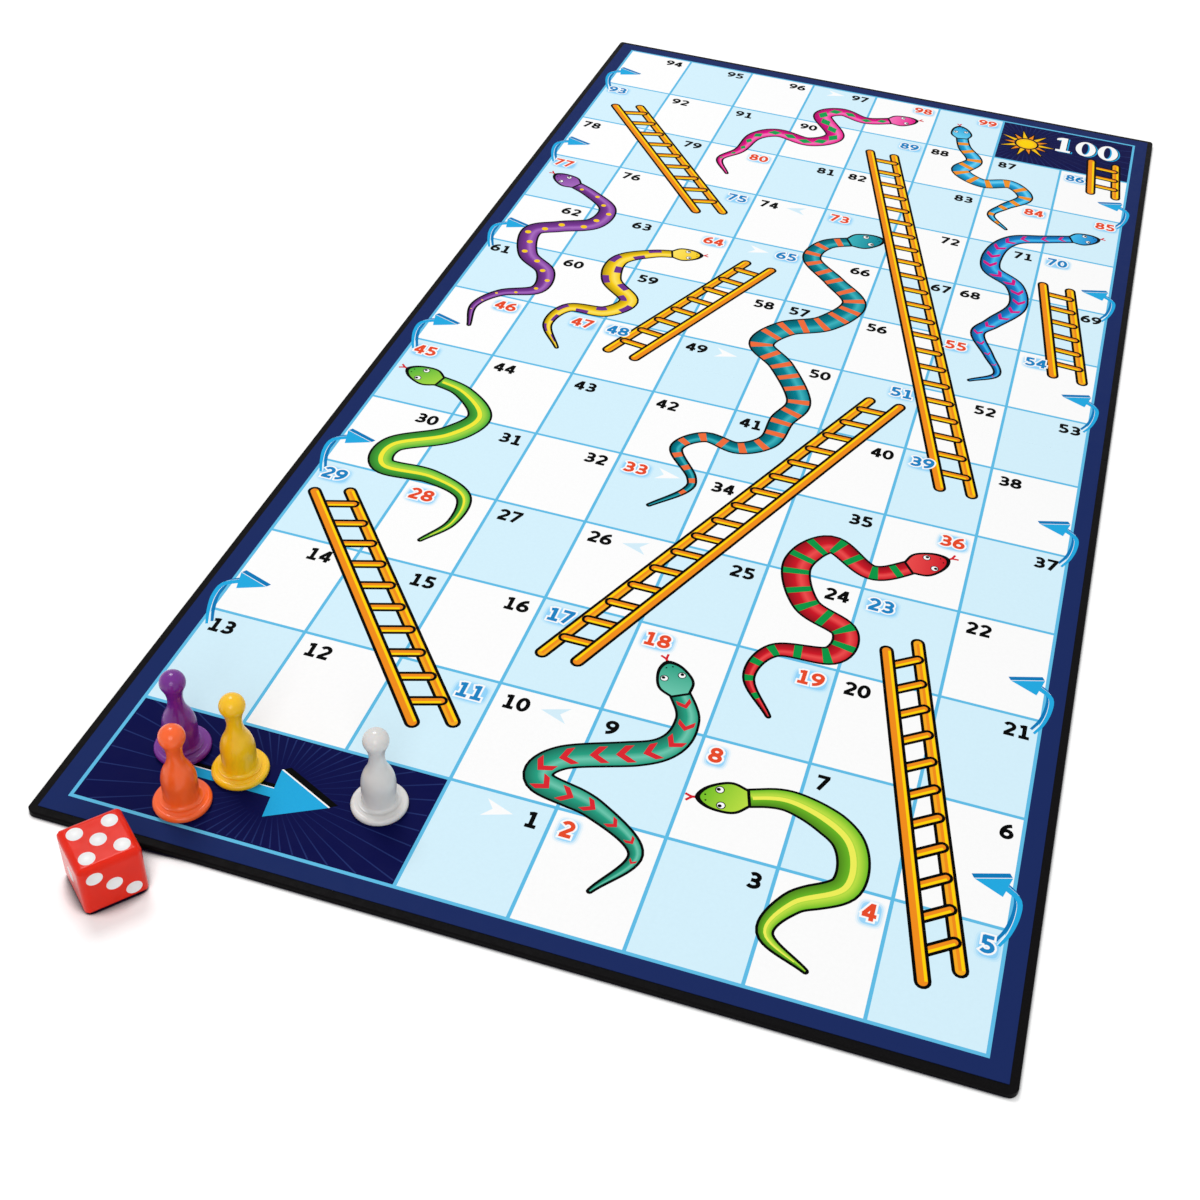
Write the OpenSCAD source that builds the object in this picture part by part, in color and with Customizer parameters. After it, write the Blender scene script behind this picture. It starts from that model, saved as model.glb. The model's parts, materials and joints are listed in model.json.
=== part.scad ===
// A folding snakes and ladders board with its four pawns and its die.
// The board lies flat on the table, print up. X runs across it, Y from the player to the far
// end, and the origin is on the table under the middle of the fold.

/* [Board] */
// Width of the open board
board_w = 254; // [180:1:320]
// Length of the open board, two halves end to end
board_l = 508; // [360:1:640]
// Radius of the four outer corners
corner_r = 2.5; // [1:0.5:5]
// Radius of the wrapped edges, seen from the side
edge_r = 0.5; // [0.35:0.05:0.7]
// Slit between the two halves, under the print
fold_gap = 0.2; // [0.1:0.05:0.6]

/* [Board layers] */
// Thickness of the greyboard core
core_t = 1.6; // [1.2:0.1:3]
// Thickness of the black wrapping paper
wrap_t = 0.2; // [0.1:0.05:0.3]
// Thickness of the printed sheet
sheet_t = 0.2; // [0.1:0.05:0.3]
// Black rim that the printed sheet leaves bare
rim = 2.4; // [1:0.1:5]
// Width of the wrap's flaps, glued down on top of the core
flap_w = 14; // [8:1:25]
// Slit where two turned-in flaps meet at a corner
mitre_gap = 0.3; // [0.1:0.05:0.6]

/* [Print] */
// Plain border between the edge of the printed sheet and the squares
margin = 5.3; // [3:0.1:12]
// Squares across the board
columns = 8; // [6:1:10]
// Squares along the board
rows = 13; // [10:1:16]

/* [Pawns] */
// Diameter of a pawn's foot
foot_d = 15; // [12:0.5:18]
// Thickness of the foot, with its rounded rim
foot_t = 2.1; // [1.6:0.1:3.5]
// Rise of the foot's top from its rim to the body
foot_rise = 0.6; // [0.3:0.1:1.5]
// Radius of the hollow between the foot and the body
foot_fillet = 1; // [0.5:0.1:2]
// Height of a pawn
pawn_h = 28; // [24:0.5:34]
// Diameter of the head
head_d = 6.8; // [6:0.1:8]
// Diameter of the neck at its narrowest
neck_d = 4.1; // [3:0.1:5]
// Radius of the hollow curve of the neck
neck_arc_r = 10; // [8:0.1:14]
// Diameter of the body at its widest
body_d = 9.1; // [8:0.1:11]
// Radius of the curve of the shoulder, where the body narrows
shoulder_r = 11; // [7:0.1:14]
// Wall left around the hollow in the body
pawn_wall = 1.6; // [1:0.1:2.2]

/* [Die] */
// Edge of the die
die_w = 16; // [12:0.5:20]
// Radius of the die's edges
die_edge_r = 1.7; // [0.8:0.1:2.5]
// Diameter of a pip
pip_d = 4; // [2.5:0.1:4.5]
// Depth of a pip
pip_depth = 0.5; // [0.3:0.05:0.8]
// Gap on the table between the die and the board
die_gap = 0.5; // [0.3:0.1:5]

/* [Hidden] */
$fn = 64;
overrun = 1;

// Levels of the board, from the table up
core_z = wrap_t;
core_top = core_z + core_t;
board_top = core_top + sheet_t;
half_l = board_l / 2;

// The three squares of the start, at the near left corner
cell_w = (board_w - 2 * (rim + margin)) / columns;
cell_l = (board_l - 2 * (rim + margin)) / rows;
start_columns = 3;
start_x = rim + margin - board_w / 2;
start_y = rim + margin - half_l;

// The pawns stand round the yellow one. Its place is a share of the start's sides, and theirs
// are shares of a foot's diameter away from it.
yellow_shares = [0.415, 0.585];
purple_shares = [-1.19, 0.15];
orange_shares = [-0.59, -0.97];
white_shares = [2.58, 0.08];

// The pawn's outline: the shoulder, neck and head are arcs that run into each other, so the
// rise from one to the next follows from their radii. The straight body takes up the rest.
foot_r = foot_d / 2;
foot_rim_r = foot_t / 2;
head_r = head_d / 2;
head_z = pawn_h - head_r;
neck_r = neck_d / 2;
body_r = body_d / 2;
neck_arc_x = neck_r + neck_arc_r;
shoulder_x = body_r - shoulder_r;
head_rise = sqrt((neck_arc_r + head_r) ^ 2 - neck_arc_x ^ 2);
neck_rise = sqrt((neck_arc_r + shoulder_r) ^ 2 - (neck_arc_x - shoulder_x) ^ 2);
neck_z = head_z - head_rise;
body_z = neck_z - neck_rise;
shoulder_top = body_z + neck_rise * shoulder_r / (neck_arc_r + shoulder_r);
neck_top = head_z - head_rise * head_r / (neck_arc_r + head_r);
hollow_r = body_r - pawn_wall;

// The die: its turn on the table, and where its pips lie on a face
die_turn = 50;
die_x_share = 0.25;
die_round_share = 1.585;
pip_pitch_share = 0.268;
pip_pitch = pip_pitch_share * die_w;
pip_ball_r = ((pip_d / 2) ^ 2 + pip_depth ^ 2) / (2 * pip_depth);
die_reach = die_w / 2 * (sin(die_turn) + cos(die_turn));
die_x = start_x + die_x_share * start_columns * cell_w;
die_y = -half_l - die_gap - die_reach;
pip_shares = [
    [[0, 0]],
    [[-1, 1], [1, -1]],
    [[-1, 1], [0, 0], [1, -1]],
    [[-1, -1], [-1, 1], [1, -1], [1, 1]],
    [[-1, -1], [-1, 1], [0, 0], [1, -1], [1, 1]],
    [[-1, -1], [-1, 0], [-1, 1], [1, -1], [1, 0], [1, 1]]
];

// Outline of the far half, with its straight side along the fold and round outer corners.
// inset pulls the three outer sides in, and back pulls the fold side in.
module half_outline(inset, back) {
    half_w = board_w / 2 - inset;
    end_y = half_l - inset;
    r = max(corner_r - inset, wrap_t);
    translate([-half_w, fold_gap / 2 + back])
        square([2 * half_w, end_y - r - fold_gap / 2 - back]);
    translate([-half_w + r, end_y - r])
        square([2 * (half_w - r), r]);
    for (side = [-1, 1])
        translate([side * (half_w - r), end_y - r])
            circle(r);
}

// A rectangle with its low corner at the origin and round corners
module rounded_rect(size, r) {
    translate([r, 0])
        square([size.x - 2 * r, size.y]);
    translate([0, r])
        square([size.x, size.y - 2 * r]);
    for (x = [r, size.x - r])
        for (y = [r, size.y - r])
            translate([x, y])
                circle(r);
}

// A slab of that outline, with its three outer sides rounded by r above and below: what the
// outline, the cross section and the lengthwise section have in common
module half_slab(inset, back, low, high, r) {
    wide = board_w - 2 * inset;
    end_y = half_l - inset;
    from_y = fold_gap / 2 + back - r - overrun;
    intersection() {
        translate([0, 0, low - overrun])
            linear_extrude(high - low + 2 * overrun)
                half_outline(inset, back);
        translate([-wide / 2, end_y + overrun, low])
            rotate([90, 0, 0])
                linear_extrude(end_y - from_y + 2 * overrun)
                    rounded_rect([wide, high - low], r);
        translate([-wide / 2 - overrun, from_y, low])
            rotate([90, 0, 90])
                linear_extrude(wide + 2 * overrun)
                    rounded_rect([end_y - from_y, high - low], r);
    }
}

// Greyboard of the far half. Its top is pressed down all round, so the wrap lies flush.
module core_half() {
    half_slab(wrap_t, wrap_t, core_z, core_top - wrap_t, edge_r - wrap_t);
    translate([0, 0, core_top - wrap_t])
        linear_extrude(wrap_t)
            half_outline(flap_w, flap_w);
}

// Wrapping paper of the far half: the underside, the edges and the flaps turned in on top
module wrap_half() {
    difference() {
        half_slab(0, 0, 0, core_top, edge_r);
        core_half();
        translate([0, 0, core_top - wrap_t])
            linear_extrude(wrap_t + overrun)
                half_outline(flap_w, flap_w);
        for (side = [-1, 1])
            mitre(side);
    }
}

// The slit at an outer corner, from the corner of the core to the inner corner of the flaps
module mitre(side) {
    corner_x = board_w / 2 - corner_r;
    corner_y = half_l - corner_r;
    reach = (flap_w - corner_r + overrun) * sqrt(2);
    translate([side * corner_x, corner_y, core_top - wrap_t])
        rotate(side > 0 ? 225 : 315)
            translate([0, -mitre_gap / 2, 0])
                cube([reach, mitre_gap, wrap_t + overrun]);
}

// Printed sheet of the far half, glued over the flaps
module sheet_half() {
    translate([0, 0, core_top])
        linear_extrude(sheet_t)
            half_outline(rim, 0);
}

module near() {
    mirror([0, 1, 0])
        children();
}

module near_core_board() {
    color("tan")
        near()
            core_half();
}

module near_wrap() {
    color([0.05, 0.05, 0.05])
        near()
            wrap_half();
}

module near_face_sheet() {
    color("lightskyblue")
        near()
            sheet_half();
}

module far_core_board() {
    color("tan")
        core_half();
}

module far_wrap() {
    color([0.05, 0.05, 0.05])
        wrap_half();
}

module far_face_sheet() {
    color("lightskyblue")
        sheet_half();
}

// What fills the inside corner between a level face and a wall on its left
module fillet(r) {
    difference() {
        square(r);
        translate([r, r])
            circle(r);
    }
}

// Half outline of a pawn, turned about the upright axis
module pawn_outline() {
    square([foot_r - foot_rim_r, foot_t]);
    translate([foot_r - foot_rim_r, foot_rim_r])
        circle(foot_rim_r);
    polygon([[0, foot_t], [foot_r - foot_rim_r, foot_t], [body_r, foot_t + foot_rise],
             [0, foot_t + foot_rise]]);
    translate([body_r, foot_t + foot_rise])
        fillet(foot_fillet);
    square([body_r, body_z]);
    square([neck_r, head_z]);
    intersection() {
        translate([shoulder_x, body_z])
            circle(shoulder_r);
        translate([0, body_z])
            square([body_r, shoulder_top - body_z]);
    }
    difference() {
        translate([0, shoulder_top])
            square([body_r, neck_top - shoulder_top]);
        translate([neck_arc_x, neck_z])
            circle(neck_arc_r);
    }
    intersection() {
        translate([0, head_z])
            circle(head_r);
        translate([0, neck_top])
            square([head_r, pawn_h - neck_top]);
    }
}

// The hollow that the mould leaves, open under the foot and round at its top
module pawn_hollow() {
    translate([0, 0, -overrun])
        cylinder(h = body_z + overrun, r = hollow_r);
    translate([0, 0, body_z])
        sphere(hollow_r);
}

module pawn(shares) {
    yellow_x = start_x + yellow_shares.x * start_columns * cell_w;
    yellow_y = start_y + yellow_shares.y * cell_l;
    translate([yellow_x + shares.x * foot_d, yellow_y + shares.y * foot_d, board_top])
        difference() {
            rotate_extrude()
                pawn_outline();
            pawn_hollow();
        }
}

module pawn_purple() {
    color([0.45, 0.14, 0.55])
        pawn(purple_shares);
}

module pawn_orange() {
    color([0.97, 0.38, 0.17])
        pawn(orange_shares);
}

module pawn_yellow() {
    color([0.95, 0.72, 0.14])
        pawn([0, 0]);
}

module pawn_white() {
    color([0.88, 0.88, 0.88])
        pawn(white_shares);
}

module rounded_bar() {
    translate([-die_w / 2, -die_w / 2, -die_w / 2])
        linear_extrude(die_w)
            rounded_rect([die_w, die_w], die_edge_r);
}

// The pips of one face, cut into the top of a die that lies about the origin
module pips(count) {
    for (spot = pip_shares[count - 1])
        translate([spot.x * pip_pitch, spot.y * pip_pitch, die_w / 2 + pip_ball_r - pip_depth])
            sphere(pip_ball_r);
}

// A die with round edges. Its corners are cut back by a ball. Opposite faces add up to seven.
module die() {
    color([0.86, 0.16, 0.12])
        translate([die_x, die_y, die_w / 2])
            rotate(die_turn)
                difference() {
                    intersection() {
                        rounded_bar();
                        rotate([90, 0, 0])
                            rounded_bar();
                        rotate([0, 90, 0])
                            rounded_bar();
                        sphere(die_w / 2 * die_round_share);
                    }
                    pips(5);
                    rotate([180, 0, 0])
                        pips(2);
                    rotate([90, 0, 0])
                        pips(3);
                    rotate([-90, 0, 0])
                        pips(4);
                    rotate([0, -90, 0])
                        pips(1);
                    rotate([0, 90, 0])
                        pips(6);
                }
}

near_core_board();
near_wrap();
near_face_sheet();
far_core_board();
far_wrap();
far_face_sheet();
pawn_purple();
pawn_orange();
pawn_yellow();
pawn_white();
die();
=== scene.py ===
"""Looks of a folding snakes and ladders board with four pawns and a die.

The print is one flat drawing in millimetres. It is cut into triangles that each carry an ink, and
two closed meshes made of them replace the plain sheets of the frame. All else is the frame itself.
"""
import json
import math

import bmesh
import bpy
import numpy as np
from mathutils import Matrix, Vector
from mathutils.geometry import delaunay_2d_cdt

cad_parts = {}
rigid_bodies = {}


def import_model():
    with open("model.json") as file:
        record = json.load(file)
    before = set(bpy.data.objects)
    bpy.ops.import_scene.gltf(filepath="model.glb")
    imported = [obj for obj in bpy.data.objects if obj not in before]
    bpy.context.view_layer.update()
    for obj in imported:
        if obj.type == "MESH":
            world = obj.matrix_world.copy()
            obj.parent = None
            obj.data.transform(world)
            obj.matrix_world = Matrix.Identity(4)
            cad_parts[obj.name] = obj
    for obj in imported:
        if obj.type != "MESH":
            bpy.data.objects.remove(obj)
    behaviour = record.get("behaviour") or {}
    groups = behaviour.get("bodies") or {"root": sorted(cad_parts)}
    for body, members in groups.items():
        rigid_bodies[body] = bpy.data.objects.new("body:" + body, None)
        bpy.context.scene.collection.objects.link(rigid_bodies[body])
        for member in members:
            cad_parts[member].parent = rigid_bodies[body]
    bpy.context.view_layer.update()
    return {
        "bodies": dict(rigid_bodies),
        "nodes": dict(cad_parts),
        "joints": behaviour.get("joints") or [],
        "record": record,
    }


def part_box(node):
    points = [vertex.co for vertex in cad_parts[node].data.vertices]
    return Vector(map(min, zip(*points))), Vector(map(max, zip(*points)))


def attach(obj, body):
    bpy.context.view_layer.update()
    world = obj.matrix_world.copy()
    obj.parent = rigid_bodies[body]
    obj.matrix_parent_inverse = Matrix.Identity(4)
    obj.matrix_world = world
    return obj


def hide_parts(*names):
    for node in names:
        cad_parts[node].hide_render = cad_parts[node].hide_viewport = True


MM = 0.001

# The ruled squares: counts, and widths in millimetres
COLUMNS, ROWS = 8, 13
MARGIN = 5.3
RULE = 1.0
CREASE_HALF = 0.002
START_COLUMNS = 3
GOAL_COLUMN = 6

# Printing inks, as 8-bit screen colours
PAPER = (250, 250, 249)
WHITE = (254, 254, 254)
SKY = (214, 242, 254)
RULE_BLUE = (97, 190, 231)
NAVY = (28, 44, 97)
MIDNIGHT = (12, 16, 71)
RAY_BLUE = (34, 49, 105)
ARROW_BLUE = (36, 170, 226)
DEEP_BLUE = (14, 122, 186)
NUMBER_BLUE = (30, 132, 196)
NUMBER_RED = (232, 76, 42)
GLOW = (128, 204, 250)
CHEVRON_SKY = (214, 239, 251)
BLACK = (3, 3, 3)
ORANGE = (243, 142, 30)
YELLOW = (255, 214, 12)
AMBER = (248, 170, 34)
GOLD = (252, 196, 26)

# Numbers, in millimetres and in shares of a digit's height
DIGIT_HEIGHT = 5.3
DIGIT_PITCH = 4.05
DIGIT_WIDTH_SHARE = 0.69
PEN_SHARE = 0.23
NUMBER_INSET = 3.0
NUMBER_DROP = 3.2
HALO = 0.55
GLOW_STEPS = 4
GLOW_REACH = 1.9
GLOW_POINTS = 28
GLOW_SQUARENESS = 0.55
GLOW_SHIFT = (0.3, -0.5)
MARKED_SCALE = 1.04
# Numbers that stand at the right of their squares, and millimetres that some are moved aside
RIGHT_NUMBERS = {
    1, 3, 4, 5, 6, 11, 14, 15, 16, 19, 21, 24, 25, 30, 31, 32, 35, 36, 37, 40, 46, 47, 50, 51,
    52, 53, 58, 62, 63, 64, 65, 66, 67, 69, 71, 72, 75, 79, 80, 81, 83, 84, 85, 89, 94, 95, 96,
    97, 98, 99,
}
NUMBER_SHIFTS = {14: -3.6, 67: 2.2, 69: 0.8}
GOAL = 100

# Ladders, in squares: foot x, y, top x, y of the left rail, and the step to the right rail
LADDERS = {
    (5, 23): (7.38, 0.42, 6.40, 3.35, 0.28, 0.16),
    (11, 29): (2.42, 1.41, 0.16, 3.57, 0.35, 0.10),
    (17, 51): (3.23, 2.41, 5.44, 6.61, 0.36, 0.00),
    (48, 65): (2.24, 6.50, 3.31, 8.55, 0.35, -0.04),
    (39, 89): (6.49, 5.54, 4.25, 11.53, 0.36, 0.00),
    (54, 70): (7.46, 7.69, 7.11, 9.34, 0.36, -0.02),
    (75, 93): (2.33, 9.39, 0.36, 11.43, 0.35, 0.09),
    (86, 100): (7.48, 11.59, 7.41, 12.37, 0.36, -0.02),
}
RAIL_WIDTH = 4.4
RUNG_WIDTH = 3.7
RUNG_PITCH = 10.6
RUNG_SHORT = 0.6
RUNG_ENDS = (0.85, 0.65)
LADDER_OUTLINE = 0.9
# Lanes of ink along a bar: share, ink, share, ink, where share 1 is the left edge
BACK_RAIL_LANES = ((0.35, ORANGE, -0.3, ORANGE), (-0.3, YELLOW, -0.9, YELLOW))
FRONT_RAIL_LANES = ((-0.35, YELLOW, -0.95, YELLOW),)
RUNG_LANES = ((-0.1, YELLOW, -0.95, YELLOW),)

# Snakes: width in millimetres, body, light and motif inks, motif, and the spine in squares
SNAKES = {
    (98, 80): (
        7.6, (236, 16, 140), (250, 120, 190), (20, 160, 80), "diamonds",
        ((4.45, 12.45), (4.00, 12.30), (3.60, 12.40), (3.35, 12.20), (3.66, 11.75), (3.34, 11.48),
         (2.85, 11.55), (2.55, 11.35), (2.45, 10.95), (2.25, 10.65), (2.45, 10.35)),
    ),
    (99, 84): (
        7.0, (28, 165, 222), (110, 212, 245), (245, 150, 40), "bands",
        ((5.45, 12.40), (5.55, 12.10), (5.75, 11.80), (5.60, 11.50), (5.95, 11.30), (6.35, 11.40),
         (6.60, 11.15), (6.35, 10.85), (6.20, 10.60), (6.45, 10.35)),
    ),
    (85, 55): (
        7.0, (20, 128, 205), (70, 190, 240), (214, 20, 130), "chevrons",
        ((7.45, 10.45), (7.00, 10.30), (6.60, 10.15), (6.40, 9.85), (6.40, 9.45), (6.75, 9.20),
         (6.85, 8.80), (6.60, 8.40), (6.45, 8.15), (6.65, 7.80), (6.80, 7.50), (6.50, 7.30)),
    ),
    (77, 46): (
        7.4, (122, 56, 150), (168, 108, 192), (250, 205, 30), "dots",
        ((0.50, 9.45), (0.85, 9.30), (1.20, 9.05), (1.15, 8.70), (0.75, 8.50), (0.45, 8.30),
         (0.60, 7.85), (0.95, 7.60), (1.00, 7.25), (0.60, 7.05), (0.40, 6.75), (0.50, 6.40)),
    ),
    (73, 33): (
        8.8, (0, 128, 145), (60, 180, 190), (240, 110, 60), "bands",
        ((4.60, 9.45), (4.20, 9.25), (4.10, 8.90), (4.50, 8.55), (4.85, 8.20), (4.60, 7.75),
         (4.15, 7.50), (3.95, 7.15), (4.30, 6.85), (4.65, 6.35), (4.55, 6.00), (4.50, 5.65),
         (4.20, 5.45), (3.80, 5.50), (3.55, 5.25), (3.85, 4.90), (3.85, 4.70), (3.55, 4.40)),
    ),
    (64, 47): (
        6.8, (248, 205, 20), (255, 230, 100), (110, 50, 140), "checks",
        ((2.45, 8.45), (2.10, 8.35), (1.75, 8.10), (1.80, 7.70), (2.15, 7.40), (1.95, 7.12),
         (1.50, 7.05), (1.38, 6.70), (1.65, 6.35)),
    ),
    (45, 28): (
        8.0, (70, 175, 60), (165, 218, 70), (245, 235, 60), "stripe",
        ((0.50, 5.45), (0.95, 5.35), (1.30, 5.05), (1.10, 4.70), (0.60, 4.40), (0.65, 4.10),
         (1.20, 4.10), (1.65, 3.95), (1.70, 3.60), (1.50, 3.30)),
    ),
    (36, 19): (
        8.2, (205, 25, 40), (238, 78, 78), (10, 150, 70), "bands",
        ((6.50, 4.45), (6.05, 4.22), (5.55, 4.45), (5.28, 4.10), (5.50, 3.65), (5.95, 3.45),
         (5.90, 3.15), (5.35, 3.05), (5.20, 2.70), (5.50, 2.35)),
    ),
    (18, 2): (
        8.0, (40, 160, 130), (110, 200, 175), (220, 40, 50), "chevrons",
        ((4.58, 2.42), (4.80, 2.10), (4.65, 1.75), (3.85, 1.45), (3.75, 1.20), (4.30, 1.08),
         (4.80, 0.80), (4.55, 0.40)),
    ),
    (8, 4): (
        8.2, (110, 190, 40), (190, 225, 70), (240, 240, 90), "stripe",
        ((5.45, 1.50), (5.95, 1.60), (6.50, 1.40), (6.60, 1.00), (6.20, 0.75), (6.05, 0.45),
         (6.45, 0.25)),
    ),
}
MARKS = {end: NUMBER_RED for pair in SNAKES for end in pair}
MARKS.update({end: NUMBER_BLUE for pair in LADDERS for end in pair})
TAPER_AT = (0.0, 0.08, 0.30, 0.65, 1.0)
TAPER_SHARES = (0.62, 0.66, 1.0, 0.82, 0.05)
SPINE_STEP = 1.2
OUTLINE = 0.75
SNAKE_SHADE = 0.3
LIGHT_AT, BODY_AT = 0.35, -0.1
TIP_STEPS = 10

# Marks on snakes, in millimetres, in steps of the spine and in shares of the half width
MOTIF_PITCH = 7.5
MOTIF_START = 7.0
STRIPE_SKIPS = (4, 3)
STRIPE_SHARE = 0.22
BAND_STEPS = 2
CHECK_STEPS = 4
CHECK_INNER = 0.25
DOT_ASIDE = 0.3
DOT_SHARE = 0.36
DOT_STEPS = 14
DIAMOND = ((1.0, 0.0), (0.0, 0.62), (-1.0, 0.0), (0.0, -0.62))
ARROW_ARM, ARROW_TIP, ARROW_THICK = 0.78, 0.75, 0.62

# Heads of snakes, in shares of the width: forward and aside
HEAD_SHARES = ((-0.42, 0.30), (0.0, 0.56), (0.42, 0.54), (0.88, 0.34), (1.12, 0.0))
HEAD_STEP = 0.08
HEAD_BACK = (0.03, 0)
HEAD_FADE = ((-0.4, 0.3), (0.9, -0.5))
# Eyes and nostrils on each side: forward, aside, radius, ink and corners
HEAD_MARKS = (
    (0.46, 0.33, 0.16, BLACK, 14),
    (0.46, 0.33, 0.125, WHITE, 14),
    (0.5, 0.35, 0.07, BLACK, 12),
    (0.95, 0.12, 0.035, BLACK, 8),
)
TONGUE_RED = (214, 30, 45)
TONGUE = ((1.0, 0.0), (1.35, 0.0), (1.6, 0.14))
TONGUE_STEP = 0.4
TONGUE_SHARE = 0.045

# Small arrows beside numbers: number, and the way that they point
CHEVRONS = {1: 1, 10: -1, 33: 1, 26: -1, 49: 1, 65: 1, 74: -1, 97: 1}
CHEVRON_SIZE = (8.0, 6.0)
CHEVRON_SHAPE = ((-0.5, 0.5), (0.5, 0.0), (-0.5, -0.5), (-0.2, 0.0))
CHEVRON_GAP = 3.4

# The arrow in the start block, from the frame's near left corner
START_SHAFT = (22.0, 49.0, 18.1, 2.9)
START_HEAD = ((46.9, 26.1), (63.8, 18.2), (49.2, 10.0))
START_SHADOW = (2.0, 1.5)
START_EDGE = (0.35, 0.3)
RAYS_AT = (1.62, 0.5)
RAY_COUNT = 48
RAY_FROM = 9.0
RAY_HALF = 0.2
RAY_TAPER = 0.4
RAY_PALE = 0.35
RAY_LEAST = 1.0

# Turning arrows at the sides, in squares from the corner between two rows
TURN_LINES = {
    "left": ((0.075, -0.17), (0.0, -0.03), (-0.055, 0.13), (-0.045, 0.27), (0.09, 0.35)),
    "right": ((0.07, -0.145), (0.0, -0.03), (-0.045, 0.13), (-0.035, 0.27), (0.09, 0.35)),
}
TURN_HEAD = ((0.042, 0.444), (0.365, 0.357), (0.103, 0.264))
TURN_HALVES = (0.4, 0.85)
TURN_SHADOW = (0.95, 1.4)
TURN_EDGE_SHARE = 0.13

# The goal block: places in squares, sizes in millimetres, and shapes in shares of a digit
GOAL_DIGITS_AT = (6.81, 12.47)
GOAL_DIGIT = (8.9, 14.1)
GOAL_PITCH = 9.9
# Layers of its number: shift, ink, and ink of the holes, which are shaded where it is None
GOAL_LAYERS = (
    ((1.0, -0.5), ARROW_BLUE, MIDNIGHT),
    ((0.4, -0.2), BLACK, MIDNIGHT),
    ((0, 0), WHITE, None),
)
ONE_STEM = ((0.36, 0.0), (0.66, 1.0))
ONE_FOOT = ((0.14, 0.0), (0.88, 0.13))
ONE_FLAG = ((0.12, 0.78), (0.42, 0.84), (0.42, 1.0), (0.3, 0.98), (0.12, 0.9))
NOUGHT_RADII = (0.5, 0.51)
HOLE_RADII = (0.2, 0.4)
HOLE_SHADE_RADII = (0.16, 0.385)
HOLE_SHADE_SHIFT = (-0.35, 0.2)
NOUGHT_STEPS, HOLE_STEPS = 36, 30
SUN_AT = (6.42, 12.5)
SUN_RADII = (4.6, 7.4, 12.4)
SUN_RAYS = 14
SUN_RAY_SHARE = 0.8
SUN_GAP = 1
SUN_CORE_SHARE = 0.72
SUN_STEPS = 28

# Limits of the drawing, in millimetres and shares, and steps between the points of a smooth line
TINY_AREA = 1e-5
TINY_SHARE = 1e-6
MERGE = 1e-4
SMOOTH_STEPS = 24

# The other finishes, as 8-bit screen colours, and numbers that their grains share
WRAP_BLACK = (13, 12, 13)
BOARD_GREY = (148, 140, 128)
PAWN_INKS = {
    "purple": (118, 34, 146),
    "orange": (255, 103, 38),
    "yellow": (255, 199, 20),
    "white": (220, 218, 216),
}
DIE_RED = (230, 37, 14)
PIP_WHITE = (240, 240, 240)
NOISE_SPAN = (0.3, 0.7)
PLASTIC_WEAR = 0.1

# The die's turn in degrees, its pips in shares of its edge and half edge, and a depth in millimetres
DIE_TURN = 50.0
PIP_PITCH_SHARE = 0.268
PIP_SHARE = 0.251
PIP_LEAST_DEPTH = 0.004

# The white table: lengths in metres, shares of light, and the painted contact shade, a dark colour
# laid on it right beside a thing that stands on it
FLOOR_HALF = 4.0
FLOOR_BOUNCE = 0.8
FLOOR_SHARE = 0.95
FLOOR_GLOWS = (0.19, 0.6)
FLOOR_REACH = (0.5, 1.4)
PAINTED_CONTACT_SHADE = (24, 22, 44)
CONTACT_REACH = 0.012
CONTACT_OPEN = (0.46, 0.67)

# Softboxes: place and size in metres, and power in watts. The world's light is a share of white.
LAMPS = {
    "key": ((-0.6, 0.45, 1.6), 0.7, 13.0),
    "fill": ((0.4, -1.5, 0.9), 0.9, 7.0),
}
AMBIENT = 0.52

# The camera as the photograph shows the board: its place and film in millimetres, its turn in
# degrees, its lens and shift in shares of the film, and its near limit in metres
CAMERA_AT = (85.8, -485.3, 341.0)
CAMERA_AZIMUTH, CAMERA_ELEVATION, CAMERA_ROLL = 12.63, 39.78, 5.3
FOCAL_SHARE = 1.3995
CAMERA_SHIFT = (-0.06, -0.06)
SENSOR = 36.0
CLIP_START = 0.01


def linear(ink):
    """A screen colour as linear light."""
    shares = np.asarray(ink, float) / 255
    return np.where(shares <= 0.04045, shares / 12.92, ((shares + 0.055) / 1.055) ** 2.4)


def mixed(one, other, share):
    """One ink with a share of another."""
    return tuple(a + (b - a) * share for a, b in zip(one, other))


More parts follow.
